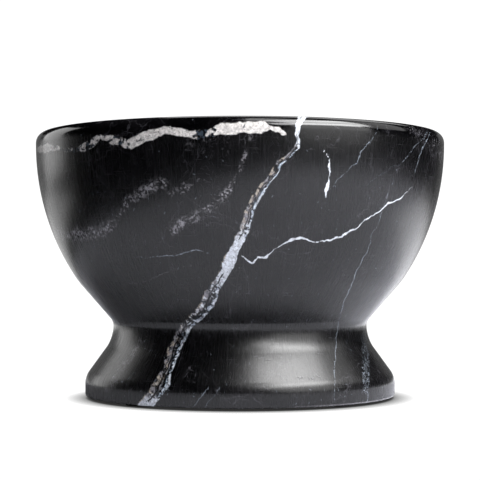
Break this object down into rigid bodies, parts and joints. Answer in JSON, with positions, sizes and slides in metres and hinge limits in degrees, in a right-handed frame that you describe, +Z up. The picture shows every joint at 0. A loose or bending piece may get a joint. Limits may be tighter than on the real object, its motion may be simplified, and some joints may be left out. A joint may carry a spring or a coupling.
{
  "type": "shaving bowl",
  "caption": "Pedestal shaving bowl turned from black marble, for working up lather, with a flared foot and soft pads under it.",
  "frame": {"origin": "on the turning axis, on the plane that the pads rest on", "axes": "+Z up along the turning axis, out of the bowl's mouth; -Y towards the side with the long slanting vein; +X to the right as that side is seen"},
  "size_m": [0.12, 0.12, 0.0774],
  "materials": {
    "marble": "satin",
    "pad_rubber": "matte"
  },
  "bodies": {
    "root": {"stone_bowl": "marble", "foot_pad_right_rear": "pad_rubber", "foot_pad_left_rear": "pad_rubber", "foot_pad_left_front": "pad_rubber", "foot_pad_right_front": "pad_rubber"}
  },
  "joints": []
}
